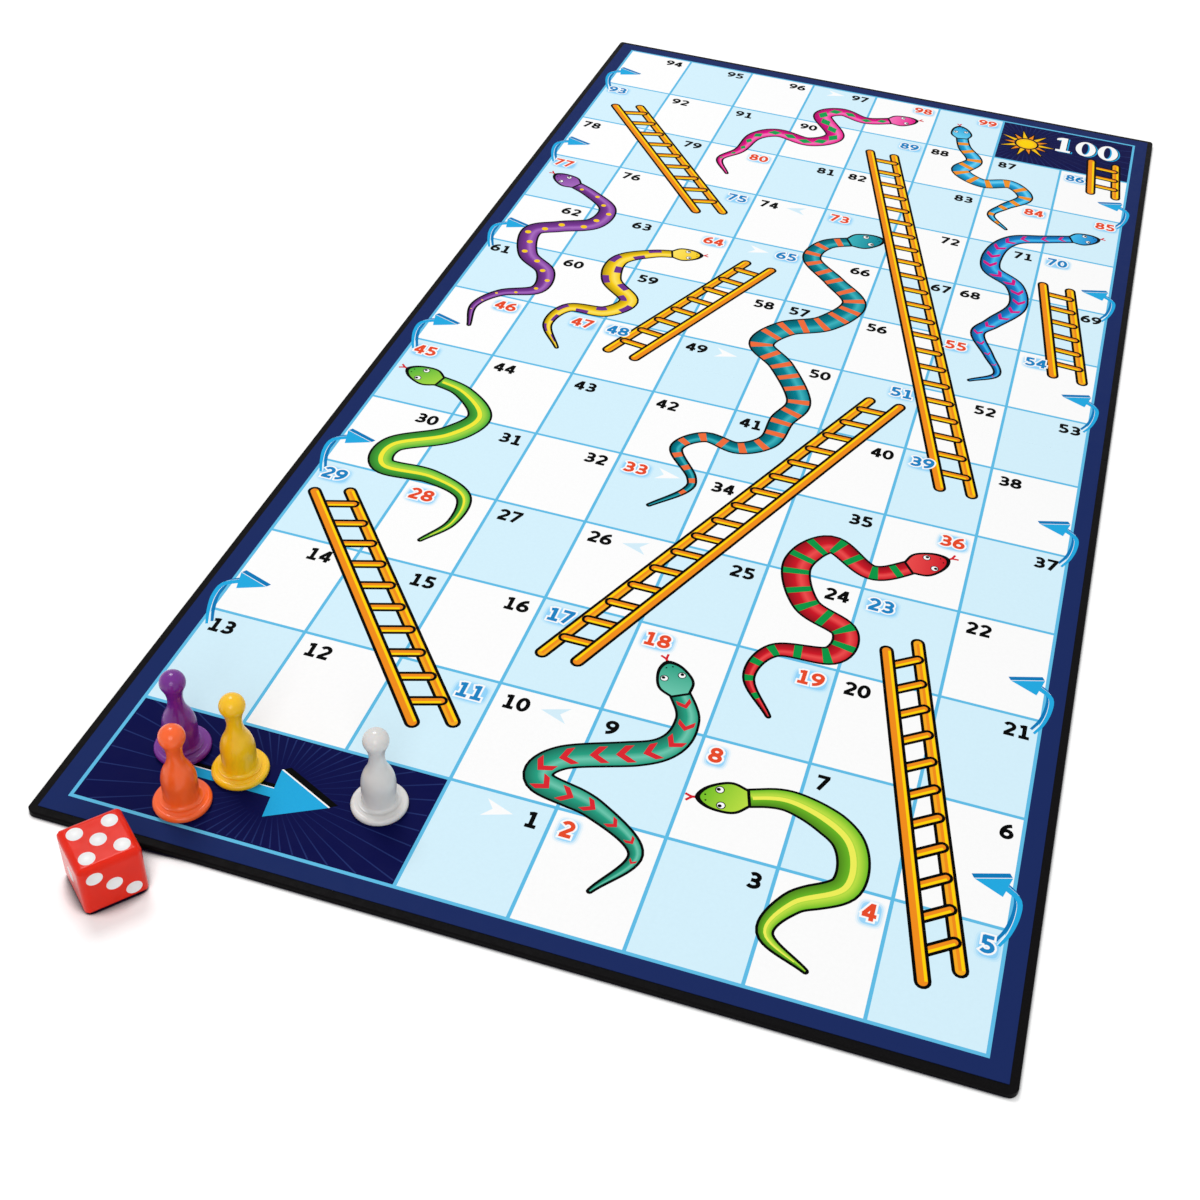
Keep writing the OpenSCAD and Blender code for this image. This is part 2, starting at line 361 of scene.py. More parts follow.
class Drawing:
    """Flat shapes in millimetres. A later shape covers the ones before it."""

    def __init__(self):
        self.points = []
        self.faces = []
        self.inks = []

    def face(self, corners, ink, far_ink=None, start=None, end=None):
        """A simple polygon in one ink, or one that fades from ink at start to far_ink at end."""
        corners = np.asarray(corners, float)
        ahead = np.roll(corners, -1, axis=0)
        area = 0.5 * np.sum(corners[:, 0] * ahead[:, 1] - corners[:, 1] * ahead[:, 0])
        if abs(area) < TINY_AREA:
            return
        if area < 0:
            corners = corners[::-1]
        first = len(self.points)
        self.points.extend(Vector(c) for c in corners)
        self.faces.append(list(range(first, first + len(corners))))
        self.inks.append((linear(ink), None if far_ink is None else linear(far_ink), start, end))

    def ink_at(self, face, point):
        """The linear ink of a face at a point."""
        ink, far_ink, start, end = self.inks[face]
        if far_ink is None:
            return ink
        way = end - start
        share = np.dot(point - start, way) / np.dot(way, way)
        return ink + (far_ink - ink) * min(max(share, 0.0), 1.0)

    def box(self, low, high, ink):
        """A rectangle between two corners."""
        self.face([low, (high[0], low[1]), high, (low[0], high[1])], ink)

    def ribbon(self, line, halves, lanes):
        """Lanes along a line. A lane is (share, ink, share, ink); share 1 is the left edge."""
        line = np.asarray(line, float)
        side = left_of(line) * np.reshape(np.broadcast_to(halves, len(line)), (-1, 1))
        for here in range(len(line) - 1):
            for share, ink, far_share, far_ink in lanes:
                near = edge_of(line, side * share, here)
                far = edge_of(line, side * far_share, here)[::-1]
                fade = None if ink == far_ink else far_ink
                self.face(near + far, ink, fade, sum(near) / 2, sum(far) / 2)

    def disc(self, centre, radius, ink, steps):
        """A disc, or an ellipse where radius is a pair."""
        turns = np.arange(steps) * math.tau / steps
        ring = np.stack([np.cos(turns), np.sin(turns)], axis=1)
        self.face(np.asarray(centre) + ring * np.asarray(radius), ink)

    def capsule(self, start, end, half, ink, steps=8):
        """A straight bar with round ends."""
        start, end = np.asarray(start, float), np.asarray(end, float)
        heading = math.atan2(*(end - start)[::-1])
        corners = []
        for centre, turn in ((end, heading - math.pi / 2), (start, heading + math.pi / 2)):
            for angle in turn + np.linspace(0, math.pi, steps):
                corners.append(centre + half * np.array([math.cos(angle), math.sin(angle)]))
        self.face(corners, ink)


def edge_of(line, side, here):
    """The two ends of a lane's edge beside one step of a line. They meet where the bend is tight."""
    ends = [line[i] + side[i] for i in (here, here + 1)]
    if np.dot(ends[1] - ends[0], line[here + 1] - line[here]) <= 0:
        ends = [sum(ends) / 2] * 2
    return ends


def left_of(line):
    """Unit vectors to the left of the way along a line."""
    ahead = np.gradient(line, axis=0)
    ahead /= np.linalg.norm(ahead, axis=1, keepdims=True)
    return np.stack([-ahead[:, 1], ahead[:, 0]], axis=1)


def along(line):
    """The way to each point of a line."""
    steps = np.linalg.norm(np.diff(line, axis=0), axis=1)
    return np.concatenate([[0.0], np.cumsum(steps)])


def smooth(points, step):
    """A smooth line through points, with points at even steps."""
    points = np.asarray(points, float)
    ends = [2 * points[0] - points[1], *points, 2 * points[-1] - points[-2]]
    fine = []
    for a, b, c, d in zip(ends, ends[1:], ends[2:], ends[3:]):
        for t in np.linspace(0, 1, SMOOTH_STEPS, endpoint=False):
            bend = (2 * a - 5 * b + 4 * c - d) * t * t + (3 * b - a - 3 * c + d) * t**3
            fine.append(0.5 * (2 * b + (c - a) * t + bend))
    fine = np.array([*fine, points[-1]])
    way = along(fine)
    stops = np.linspace(0, way[-1], max(2, round(way[-1] / step)))
    return np.stack([np.interp(stops, way, fine[:, i]) for i in (0, 1)], axis=1)


def arc(centre, radii, first, last, steps):
    """Points of an elliptical arc between two angles in degrees."""
    turns = np.radians(np.linspace(first, last, steps))
    return np.asarray(centre) + np.stack([np.cos(turns), np.sin(turns)], axis=1) * radii


def digit_strokes():
    """The lines of each digit, in shares of its height."""
    six = [
        arc((0.345, 0.32), (0.245, 0.22), 0, 375, 18),
        arc((0.6, 0.36), (0.5, 0.54), 184, 94, 9),
    ]
    two = np.concatenate([arc((0.335, 0.665), (0.24, 0.235), 158, -28, 10), [(0.13, 0.13)]])
    strokes = {
        "0": [arc((0.345, 0.5), (0.245, 0.4), 0, 375, 22)],
        "1": [[(0.37, 0.0), (0.37, 1.0)], [(0.12, 0.83), (0.4, 0.9)], [(0.1, 0.08), (0.66, 0.08)]],
        "2": [two, [(0.06, 0.09), (0.63, 0.09)]],
        "3": [
            arc((0.32, 0.7), (0.23, 0.2), 142, -90, 11),
            arc((0.31, 0.305), (0.27, 0.205), 90, -146, 11),
            [(0.18, 0.5), (0.33, 0.5)],
        ],
        "4": [[(0.45, 0.95), (0.08, 0.32)], [(0.02, 0.3), (0.69, 0.3)], [(0.47, 0.0), (0.47, 1.0)]],
        "5": [
            [(0.13, 0.91), (0.6, 0.91)],
            [(0.18, 0.98), (0.18, 0.5)],
            arc((0.31, 0.33), (0.27, 0.235), 118, -146, 12),
        ],
        "6": six,
        "7": [[(0.03, 0.91), (0.67, 0.91)], [(0.58, 0.9), (0.2, 0.0)]],
        "8": [
            arc((0.345, 0.715), (0.21, 0.185), 0, 375, 18),
            arc((0.345, 0.295), (0.245, 0.195), 0, 375, 18),
        ],
    }
    strokes["9"] = [np.array((0.69, 1.0)) - s for s in six]
    return {digit: [np.asarray(s, float) for s in lines] for digit, lines in strokes.items()}


class Board:
    """The places of the ruled squares on the sheet, in millimetres."""

    def __init__(self, sheet_half):
        self.sheet = np.asarray(sheet_half)
        self.frame = self.sheet - MARGIN
        self.cell = 2 * self.frame / (COLUMNS, ROWS)

    def at(self, x, y):
        """A place given in squares from the near left corner of the frame."""
        return np.array((x, y)) * self.cell - self.frame

    def mirrored(self, corner, flip, points):
        """Points given in squares from a corner, on the side that flip says."""
        return np.array([self.at(*(corner + flip * p)) for p in np.array(points)])

    def inside(self, x, y, columns=1):
        """The corners of a square within its rules."""
        low, high = self.at(x, y), self.at(x + columns, y + 1)
        edges = (x == 0, y == 0), (x + columns == COLUMNS, y + 1 == ROWS)
        inset = [RULE * (0.5 + 0.5 * np.array(e)) for e in edges]
        return low + inset[0], high - inset[1]

    def square(self, n):
        """The column and row of a numbered square. The path turns at the end of each row."""
        step = n - 1 + START_COLUMNS
        row, place = divmod(step, COLUMNS)
        return (place if row % 2 == 0 else COLUMNS - 1 - place), row


def cell_ink(x, y):
    """The two tints of the squares, in turn."""
    return SKY if (x + y) % 2 else WHITE


def draw_squares(art, board):
    """The border in two halves that meet at the crease, the rules, the squares and two dark blocks."""
    sheet = board.sheet
    art.box(-sheet, (sheet[0], -CREASE_HALF), NAVY)
    art.box((-sheet[0], CREASE_HALF), sheet, NAVY)
    art.box(-board.frame, board.frame, RULE_BLUE)
    for x in range(COLUMNS):
        for y in range(ROWS):
            art.box(*board.inside(x, y), cell_ink(x, y))
    art.box(*board.inside(0, 0, START_COLUMNS), MIDNIGHT)
    art.box(*board.inside(GOAL_COLUMN, ROWS - 1, COLUMNS - GOAL_COLUMN), MIDNIGHT)


def draw_rays(art, centre, low, high):
    """Thin pale rays from a point to the edges of a block."""
    for turn in np.arange(RAY_COUNT) * math.tau / RAY_COUNT:
        way = np.array([math.cos(turn), math.sin(turn)])
        reach = min(
            (edge - centre[i]) / way[i]
            for i in (0, 1)
            for edge in (low[i], high[i])
            if abs(way[i]) > TINY_SHARE and (edge - centre[i]) / way[i] > 0
        )
        line = [centre + way * RAY_FROM, centre + way * (reach - 2 * RAY_HALF)]
        if reach > RAY_FROM + RAY_LEAST:
            pale = mixed(MIDNIGHT, RAY_BLUE, RAY_PALE)
            art.face(ray_corners(line), pale, RAY_BLUE, *line)


def ray_corners(line):
    """The corners of a ray that widens outwards."""
    side = left_of(np.array(line))[0]
    near, far = RAY_HALF * RAY_TAPER, RAY_HALF
    return [line[0] - side * near, line[1] - side * far, line[1] + side * far, line[0] + side * near]


def draw_start(art, board):
    """Rays and a broad arrow in the start block."""
    draw_rays(art, board.at(*RAYS_AT), *board.inside(0, 0, START_COLUMNS))
    corner = board.at(0, 0)
    first, last, middle, thick = START_SHAFT
    shaft = [(first, middle - thick / 2), (last, middle + thick / 2)]
    head = corner + np.array(START_HEAD)
    for shift, ink in ((START_SHADOW, BLACK), (START_EDGE, WHITE), ((0, 0), ARROW_BLUE)):
        art.box(*(corner + shift + s for s in np.array(shaft)), ink)
        draw_head_side(art, head, shift, ink)
    art.face(head, ARROW_BLUE)


def draw_head_side(art, head, shift, ink):
    """The side that an arrow's head shows where its upper edge is moved."""
    upper = np.array(head[:2])
    art.face([*upper, *(upper + shift)[::-1]], ink)


def draw_goal(art, board):
    """Rays, a sun and the last number in the goal block."""
    centre = board.at(*SUN_AT)
    draw_rays(art, centre, *board.inside(GOAL_COLUMN, ROWS - 1, COLUMNS - GOAL_COLUMN))
    draw_sun(art, centre)
    corner = board.at(*GOAL_DIGITS_AT)
    for shift, ink, hole in GOAL_LAYERS:
        draw_hundred(art, corner + shift, ink, hole)


def draw_sun(art, centre):
    """A disc with long and short rays in turn."""
    core, root, tip = SUN_RADII
    half = math.pi / SUN_RAYS
    for grow, rays in ((OUTLINE, (BLACK, BLACK)), (0, (GOLD, ORANGE))):
        for i in range(SUN_RAYS):
            turn = i * 2 * half
            reach = tip if i % 2 == 0 else (tip + root) / 2
            spread = (turn - half * SUN_RAY_SHARE, turn, turn + half * SUN_RAY_SHARE)
            radii = (core + SUN_GAP, reach + 2 * grow, core + SUN_GAP)
            corners = [(r * math.cos(a), r * math.sin(a)) for a, r in zip(spread, radii)]
            side = np.array((math.sin(turn), -math.cos(turn)))
            art.face(centre + np.array(corners) + grow * np.array([side, (0, 0), -side]), rays[i % 2])
    for radius, ink in ((core + OUTLINE, BLACK), (core, GOLD), (core * SUN_CORE_SHARE, YELLOW)):
        art.disc(centre, radius, ink, SUN_STEPS)


def draw_hundred(art, corner, ink, hole):
    """The goal's number in broad digits with feet."""
    size = np.array(GOAL_DIGIT)
    for shares in (ONE_STEM, ONE_FOOT):
        art.box(*(corner + shares * size), ink)
    art.face(corner + ONE_FLAG * size, ink)
    for i in (1, 2):
        centre = corner + (i * GOAL_PITCH, 0) + size / 2
        art.disc(centre, size * NOUGHT_RADII, ink, NOUGHT_STEPS)
        art.disc(centre, size * HOLE_RADII, hole or ARROW_BLUE, HOLE_STEPS)
        if hole is None:
            art.disc(centre + HOLE_SHADE_SHIFT, size * HOLE_SHADE_RADII, MIDNIGHT, HOLE_STEPS)


def draw_turns(art, board):
    """A curved arrow from the end of each row up to the next."""
    for row in range(ROWS - 1):
        right = row % 2 == 0
        flip = np.array([-1, 1]) if right else np.array([1, 1])
        corner = np.array([COLUMNS if right else 0, row + 1])
        bends = TURN_LINES["right" if right else "left"]
        line = smooth(board.mirrored(corner, flip, bends), SPINE_STEP)
        halves = np.linspace(*TURN_HALVES, len(line))
        head = board.mirrored(corner, flip, TURN_HEAD)
        for share, ink in ((1, DEEP_BLUE), (TURN_EDGE_SHARE, WHITE), (0, ARROW_BLUE)):
            shift = share * flip * TURN_SHADOW
            art.ribbon(line + shift, halves, [(1, ink, -1, ink)])
            draw_head_side(art, head, shift, ink)
        art.face(head, ARROW_BLUE)


def draw_chevrons(art, board):
    """Small pale arrows beside some numbers, towards the middle of their squares."""
    long, _ = CHEVRON_SIZE
    shape = np.array(CHEVRON_SHAPE) * CHEVRON_SIZE
    for n, way in CHEVRONS.items():
        x, y = board.square(n)
        number = number_box(board, n)
        edge = number[0][0] - CHEVRON_GAP - long / 2
        if n not in RIGHT_NUMBERS:
            edge = number[1][0] + CHEVRON_GAP + long / 2
        ink = WHITE if cell_ink(x, y) == SKY else CHEVRON_SKY
        art.face(shape * (way, 1) + (edge, (number[0][1] + number[1][1]) / 2), ink)


def draw_ladder(art, board, foot, top, step):
    """Two rails, with rungs under the front one, which is the right one where a ladder leans right."""
    low, high = board.at(*foot), board.at(*top)
    across, side = np.asarray(step) * board.cell, 1
    if high[0] > low[0]:
        low, high, across, side = low + across, high + across, -across, -1
    rail, rung = RAIL_WIDTH / 2, RUNG_WIDTH / 2
    draw_bar(art, low + across, high + across, rail, AMBER, turned(BACK_RAIL_LANES, side))
    way = high - low
    count = round(np.linalg.norm(way) / RUNG_PITCH)
    reach = across * (1 - RUNG_SHORT / np.linalg.norm(across))
    for share in (np.arange(count) + RUNG_ENDS[0]) / (count - 1 + sum(RUNG_ENDS)):
        start = low + way * share
        draw_bar(art, start, start + reach, rung, ORANGE, turned(RUNG_LANES, side))
    draw_bar(art, low, high, rail, ORANGE, turned(FRONT_RAIL_LANES, side))


def turned(lanes, side):
    """Lanes with their left and right exchanged where side is -1."""
    return [(share * side, ink, far * side, far_ink) for share, ink, far, far_ink in lanes]


def draw_bar(art, start, end, half, ink, lanes):
    """An outlined bar with lanes of ink along it."""
    inner = half - LADDER_OUTLINE
    art.capsule(start, end, half, BLACK)
    art.capsule(start, end, inner, ink)
    art.ribbon([start, end], inner, lanes)


def draw_snake(art, board, width, body, light, ink, motif, spine):
    """A body that tapers to its tail, with its marks and its head."""
    line = smooth([board.at(*p) for p in spine], SPINE_STEP)
    way = along(line)
    halves = width / 2 * np.interp(way / way[-1], TAPER_AT, TAPER_SHARES)
    edge = mixed(body, BLACK, SNAKE_SHADE)
    art.ribbon(line, halves + OUTLINE, [(1, BLACK, -1, BLACK)])
    art.disc(line[-1], halves[-1] + OUTLINE, BLACK, TIP_STEPS)
    art.ribbon(line, halves, [
        (1, body, LIGHT_AT, light), (LIGHT_AT, light, BODY_AT, body), (BODY_AT, body, -1, edge)])
    draw_motif(art, line, way, halves, motif, ink)
    draw_head(art, line, width, body, light)


def draw_motif(art, line, way, halves, motif, ink):
    """Marks along a snake's back."""
    if motif == "stripe":
        inner = slice(STRIPE_SKIPS[0], -STRIPE_SKIPS[1])
        art.ribbon(line[inner], halves[inner], [(STRIPE_SHARE, ink, -STRIPE_SHARE, ink)])
        return
    normals = left_of(line)
    stops = np.arange(MOTIF_START, way[-1] - MOTIF_PITCH, MOTIF_PITCH)
    for count, stop in enumerate(stops):
        here = int(np.searchsorted(way, stop))
        half, normal = halves[here], normals[here]
        side = 1 if count % 2 else -1
        if motif == "bands":
            piece = slice(here, here + BAND_STEPS + 1)
            art.ribbon(line[piece], halves[piece], [(1, ink, -1, ink)])
        elif motif == "checks":
            piece = slice(here, here + CHECK_STEPS + 1)
            art.ribbon(line[piece], halves[piece], [(side, ink, CHECK_INNER * side, ink)])
        elif motif == "dots":
            art.disc(line[here] + normal * half * DOT_ASIDE * side, DOT_SHARE * half, ink, DOT_STEPS)
        else:
            axes = np.array([(normal[1], -normal[0]), normal])
            art.face(line[here] + half * motif_shape(motif) @ axes, ink)


def motif_shape(motif):
    """A diamond or an arrow, in shares of the half width: forward and aside."""
    if motif == "diamonds":
        return np.array(DIAMOND)
    arm, tip, thick = ARROW_ARM, ARROW_TIP, ARROW_THICK
    return np.array([(0.0, arm), (tip, 0.0), (0.0, -arm), (-thick, -arm),
                     (tip - thick, 0.0), (-thick, arm)])


def draw_head(art, line, width, body, light):
    """A plain head seen from above, with two round eyes and a forked tongue."""
    forward = line[0] - line[2]
    forward = forward / np.linalg.norm(forward)
    frame = np.array([forward, (-forward[1], forward[0])])

    def place(points):
        return line[0] + np.array(points) * width @ frame

    draw_tongue(art, place, width)
    side = np.array(HEAD_SHARES)
    ring = np.concatenate([side, side[-2::-1] * (1, -1)])
    outline = smooth(ring, HEAD_STEP)
    swell = outline * (1 + 2 * OUTLINE / width) - HEAD_BACK
    art.face(place(swell), BLACK)
    art.face(place(outline), light, body, *place(HEAD_FADE))
    for turn in (1, -1):
        for ahead, aside, radius, ink, steps in HEAD_MARKS:
            art.disc(place((ahead, aside * turn)), radius * width, ink, steps)


def draw_tongue(art, place, width):
    """Two thin lines that part at their tips."""
    for turn in (1, -1):
        line = smooth(place(np.array(TONGUE) * (1, turn)), TONGUE_STEP)
        art.ribbon(line, TONGUE_SHARE * width, [(1, TONGUE_RED, -1, TONGUE_RED)])


def number_box(board, n):
    """The corners of a square's number."""
    x, y = board.square(n)
    wide = DIGIT_PITCH * (len(str(n)) - 1) + DIGIT_WIDTH_SHARE * DIGIT_HEIGHT
    top = board.at(x, y + 1)[1] - NUMBER_DROP
    left = board.at(x, y)[0] + NUMBER_INSET
    if n in RIGHT_NUMBERS:
        left = board.at(x + 1, y)[0] - NUMBER_INSET - wide
    left += NUMBER_SHIFTS.get(n, 0.0)
    return np.array([(left, top - DIGIT_HEIGHT), (left + wide, top)])


def draw_number(art, board, n, strokes):
    """A black number, or a larger one in colour where a ladder or a snake starts or ends."""
    box = number_box(board, n)
    middle = box.mean(axis=0)
    scale, layers = 1.0, [(0.0, BLACK)]
    if n in MARKS:
        scale, layers = MARKED_SCALE, [(HALO, WHITE), (0.0, MARKS[n])]
    for grow, ink in layers:
        for i, digit in enumerate(str(n)):
            for stroke in strokes[digit]:
                line = box[0] + (i * DIGIT_PITCH, 0) + stroke * DIGIT_HEIGHT
                draw_stroke(art, middle + (line - middle) * scale, grow, ink)


def draw_glow(art, board, n):
    """A soft glow round a number, in steps that fade to the square's own ink."""
    box, square = number_box(board, n), board.square(n)
    ground = cell_ink(*square)
    middle, half = box.mean(axis=0) + GLOW_SHIFT, (box[1] - box[0]) / 2
    for step in range(GLOW_STEPS):
        share = (step + 0.5) / GLOW_STEPS
        reach = HALO + GLOW_REACH * (1 - share)
        turns = np.arange(GLOW_POINTS) * math.tau / GLOW_POINTS
        ring = np.stack([np.cos(turns), np.sin(turns)], axis=1)
        ring = np.sign(ring) * np.abs(ring) ** GLOW_SQUARENESS
        corners = np.clip(middle + ring * (half + reach), *board.inside(*square))
        art.face(corners, mixed(ground, GLOW, share * share))


def draw_stroke(art, line, grow, ink):
    """A pen stroke with flat ends, grown all round for a halo."""
    half = PEN_SHARE * DIGIT_HEIGHT / 2 + grow
    if grow:
        ends = [line[0] - line[1], line[-1] - line[-2]]
        ends = [grow * e / np.linalg.norm(e) for e in ends]
        line = np.array([line[0] + ends[0], *line[1:-1], line[-1] + ends[1]])
    art.ribbon(line, half, [(1, ink, -1, ink)])


def draw_print(board):
    """The whole print, from the border up to the numbers."""
    art = Drawing()
    draw_squares(art, board)
    for n in MARKS:
        if n != GOAL:
            draw_glow(art, board, n)
    draw_start(art, board)
    draw_goal(art, board)
    draw_turns(art, board)
    draw_chevrons(art, board)
    for row in SNAKES.values():
        draw_snake(art, board, *row)
    for foot_x, foot_y, top_x, top_y, *step in LADDERS.values():
        draw_ladder(art, board, (foot_x, foot_y), (top_x, top_y), step)
    strokes = digit_strokes()
    for n in range(1, GOAL):
        draw_number(art, board, n, strokes)
    return art


def sheet_piece(name, art, cut, half, low_z, high_z):
    """A closed sheet whose top is one half of the cut drawing."""
    mesh = bmesh.new()
    ink = mesh.loops.layers.float_color.new("ink")
    print_top(mesh, ink, art, cut, half, high_z)
    close_sheet(mesh, ink, low_z)
    bmesh.ops.recalc_face_normals(mesh, faces=mesh.faces[:])
    data = bpy.data.meshes.new(name)
    mesh.to_mesh(data)
    mesh.free()
    piece = bpy.data.objects.new(name, data)
    bpy.context.scene.collection.objects.link(piece)
    return piece


def print_top(mesh, ink, art, cut, half, high_z):
    """The cut faces over one half, which is shape 0 or 1. The last shape over a face gives its ink."""
    points, faces, owners = cut
    made = {}
    for corners, over in zip(faces, owners):
        if half not in over:
            continue
        for i in corners:
            if i not in made:
                made[i] = mesh.verts.new((points[i][0] * MM, points[i][1] * MM, high_z))
        face = mesh.faces.new([made[i] for i in corners])
        for loop, i in zip(face.loops, corners):
            loop[ink] = (*art.ink_at(max(over), np.array(points[i])), 1.0)


def close_sheet(mesh, ink, low_z):
    """Sides in the border's ink, and a plain underside."""
    rim = [e for e in mesh.edges if len(e.link_faces) == 1]
    low = {}
    for vert in (v for e in rim for v in e.verts):
        if vert not in low:
            low[vert] = mesh.verts.new((*vert.co.xy, low_z))
    sides = [mesh.faces.new((a, b, low[b], low[a])) for a, b in (e.verts for e in rim)]
    under = [mesh.faces.new(in_a_ring(list(low.values())))]
    for faces, colour in ((sides, NAVY), (under, PAPER)):
        for loop in (loop for face in faces for loop in face.loops):
            loop[ink] = (*linear(colour), 1.0)


def in_a_ring(verts):
    """Vertices of a convex outline in the order round its middle."""
    places = np.array([vert.co.xy for vert in verts])
    x, y = (places - (places.min(axis=0) + places.max(axis=0)) / 2).T
    return [verts[i] for i in np.argsort(np.arctan2(y, x))]


def map_range(tree, source, span, out=(0.0, 1.0)):
    """A value mapped from one span to another."""
    node = tree.nodes.new("ShaderNodeMapRange")
    for name, value in zip(("From Min", "From Max", "To Min", "To Max"), (*span, *out)):
        node.inputs[name].default_value = value
    tree.links.new(source, node.inputs["Value"])
    return node.outputs["Result"]


class Finish:
    """A node material with short names for what the finishes share."""

    def __init__(self, name):
        self.material = bpy.data.materials.new(name)
        self.material.use_nodes = True
        self.nodes = self.material.node_tree.nodes
        self.links = self.material.node_tree.links
        self.shader = self.nodes["Principled BSDF"]
        self.place = self.nodes.new("ShaderNodeTexCoord").outputs["Object"]

    def set(self, **sockets):
        for name, value in sockets.items():
            self.shader.inputs[name.replace("_", " ")].default_value = value

    def link(self, source, socket):
        self.links.new(source, self.shader.inputs[socket])

    def noise(self, scale, detail=3.0, rough=0.5):
        node = self.nodes.new("ShaderNodeTexNoise")
        node.inputs["Scale"].default_value = scale
        node.inputs["Detail"].default_value = detail
        node.inputs["Roughness"].default_value = rough
        self.links.new(self.place, node.inputs["Vector"])
        return node.outputs["Fac"]

    def spread(self, source, low, high):
        """A noise spread from low to high."""
        return map_range(self.material.node_tree, source, NOISE_SPAN, (low, high))

    def shade(self, colour, amount):
        """A screen colour, or a node's colour, darkened and lightened by an amount around 1."""
        node = self.nodes.new("ShaderNodeVectorMath")
        node.operation = "SCALE"
        if isinstance(colour, tuple):
            node.inputs[0].default_value = linear(colour)
        else:
            self.links.new(colour, node.inputs[0])
        self.links.new(amount, node.inputs["Scale"])
        return node.outputs["Vector"]

    def bump(self, source, strength, distance):
        node = self.nodes.new("ShaderNodeBump")
        node.inputs["Strength"].default_value = strength
        node.inputs["Distance"].default_value = distance
        self.links.new(source, node.inputs["Height"])
        self.link(node.outputs["Normal"], "Normal")


def print_finish():
    """Inks on coated paper under a satin varnish."""
    finish = Finish("printed_paper")
    ink = finish.nodes.new("ShaderNodeVertexColor")
    ink.layer_name = "ink"
    mottle = finish.spread(finish.noise(scale=900.0), low=0.988, high=1.004)
    finish.link(finish.shade(ink.outputs["Color"], mottle), "Base Color")
    finish.link(finish.spread(finish.noise(scale=260.0), low=0.42, high=0.54), "Roughness")
    finish.bump(finish.noise(scale=4200.0, detail=4.0), strength=0.04, distance=0.00003)
    finish.set(Specular_IOR_Level=0.015)
    return finish.material


def wrap_finish():
    """Black wrapping paper with a fine grain and a slight sheen."""
    finish = Finish("wrap_paper")
    grain = finish.noise(scale=2600.0, detail=5.0, rough=0.6)
    finish.link(finish.shade(WRAP_BLACK, finish.spread(grain, low=0.7, high=1.35)), "Base Color")
    finish.link(finish.spread(finish.noise(scale=500.0), low=0.42, high=0.58), "Roughness")
    finish.bump(grain, strength=0.25, distance=0.00004)
    finish.set(Specular_IOR_Level=0.03)
    return finish.material


def greyboard_finish():
    """Grey pulp board with flecks."""
    finish = Finish("greyboard")
    fleck = finish.noise(scale=1500.0, detail=6.0, rough=0.65)
    finish.link(finish.shade(BOARD_GREY, finish.spread(fleck, low=0.8, high=1.15)), "Base Color")
    finish.set(Roughness=0.9, Specular_IOR_Level=0.15)
    finish.bump(fleck, strength=0.5, distance=0.0001)
    return finish.material


def plastic_finish(name, colour, roughness, glow, gloss=0.4):
    """Glossy moulded plastic with a slight cloudiness and faint waves in its skin."""
    finish = Finish(name)
    cloud = finish.spread(finish.noise(scale=160.0, detail=2.0), low=0.94, high=1.05)
    finish.link(finish.shade(colour, cloud), "Base Color")
    wear = finish.spread(finish.noise(scale=700.0), low=roughness, high=roughness + PLASTIC_WEAR)
    finish.link(wear, "Roughness")
    finish.bump(finish.noise(scale=420.0, detail=2.0), strength=0.12, distance=0.0002)
    finish.set(Subsurface_Weight=glow, Subsurface_Radius=(1.0, 0.7, 0.5), Subsurface_Scale=0.0012)
    finish.set(Specular_IOR_Level=gloss, IOR=1.49)
    return finish.material


def dress_pawns(nodes):
    """Each pawn in the plastic that its name says."""
    for colour, ink in PAWN_INKS.items():
        nodes["pawn_" + colour].material_slots[0].material = plastic_finish(
            colour + "_plastic", ink, roughness=0.16, glow=0.25)


def dress_die(die):
    """Red plastic, with white paint in the dimples of the pips."""
    die.material_slots[0].material = plastic_finish(
        "red_plastic", DIE_RED, roughness=0.14, glow=0.2, gloss=0.16)
    die.data.materials.append(plastic_finish("pip_paint", PIP_WHITE, roughness=0.3, glow=0.1))
    low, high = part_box("die")
    half = (high.z - low.z) / 2
    middle = (low + high) / 2
    back = Matrix.Rotation(math.radians(-DIE_TURN), 3, "Z")
    pitch, radius = PIP_PITCH_SHARE * 2 * half, PIP_SHARE * half
    for face in die.data.polygons:
        place = sorted(abs(c) for c in back @ (face.center - middle))
        depth = half - place[2]
        aside = math.hypot(*(c - pitch * round(c / pitch) for c in place[:2]))
        if depth > PIP_LEAST_DEPTH * MM and aside < radius and place[1] < pitch + radius:
            face.material_index = 1


def dress_board(frame, board):
    """The print in place of the plain sheets, and the finishes of the wraps and the cores."""
    nodes = frame["nodes"]
    art = draw_print(board)
    points, _, faces, _, _, owners = delaunay_2d_cdt(art.points, [], art.faces, 1, MERGE, True)
    finish = print_finish()
    wrap, core = wrap_finish(), greyboard_finish()
    for half, side in enumerate(("near", "far")):
        low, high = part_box(side + "_face_sheet")
        piece = sheet_piece(side + "_print", art, (points, faces, owners), half, low.z, high.z)
        piece.data.materials.append(finish)
        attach(piece, side + "_half")
        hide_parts(side + "_face_sheet")
        nodes[side + "_wrap"].material_slots[0].material = wrap
        nodes[side + "_core_board"].material_slots[0].material = core


def seen_directly(tree):
    """1 for rays from the camera, and for those that a gloss or a glass sends on."""
    path = tree.nodes.new("ShaderNodeLightPath")
    first = tree.nodes.new("ShaderNodeMath")
    second = tree.nodes.new("ShaderNodeMath")
    for node, sources in (
        (first, (path.outputs["Is Camera Ray"], path.outputs["Is Glossy Ray"])),
        (second, (first.outputs["Value"], path.outputs["Is Transmission Ray"])),
    ):
        node.operation = "MAXIMUM"
        for i, source in enumerate(sources):
            tree.links.new(source, node.inputs[i])
    return second.outputs["Value"]


